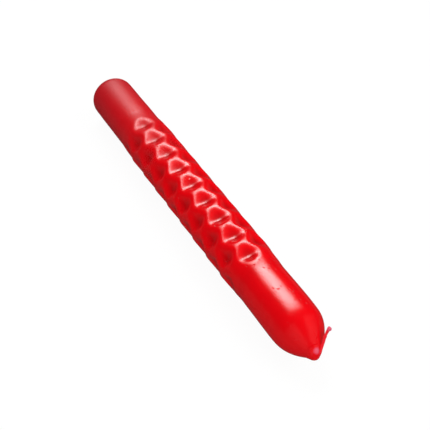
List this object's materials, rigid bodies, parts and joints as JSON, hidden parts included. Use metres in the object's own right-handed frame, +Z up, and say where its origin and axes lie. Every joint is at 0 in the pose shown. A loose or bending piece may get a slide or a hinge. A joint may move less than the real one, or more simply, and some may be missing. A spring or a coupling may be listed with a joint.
{
  "type": "relief candle",
  "caption": "Slim dinner candle lying on its side: rounded foot, pressed band of staggered dimples, smooth neck, pointed tip and a waxed wick folded back.",
  "frame": {"origin": "centre of the foot's flat end face, on the candle's axis", "axes": "+X along the candle from the foot to the wick, +Z up as the candle lies, +Y to the left when looking from the foot to the wick"},
  "size_m": [0.2009, 0.0236, 0.0237],
  "materials": {
    "dyed_wax": "gloss",
    "plain_wax": "satin",
    "primer_wax": "satin",
    "cotton": "matte"
  },
  "bodies": {
    "candle": {"wick_strand_1": "cotton", "wick_strand_2": "cotton", "wick_strand_3": "cotton", "wick_primer": "primer_wax", "wax_core": "plain_wax", "dip_coat": "dyed_wax", "tip_nib": "dyed_wax"},
    "wick_end": {"free_strand_1": "cotton", "free_strand_2": "cotton", "free_strand_3": "cotton", "wick_sleeve": "dyed_wax", "wick_bead": "dyed_wax"}
  },
  "joints": [
    {"name": "wick_bend", "type": "hinge", "parent": "candle", "child": "wick_end", "pos_m": [0.2002, 0, 0], "axis": [0, 0.6756, -0.7373], "range_deg": [0, 118]}
  ]
}
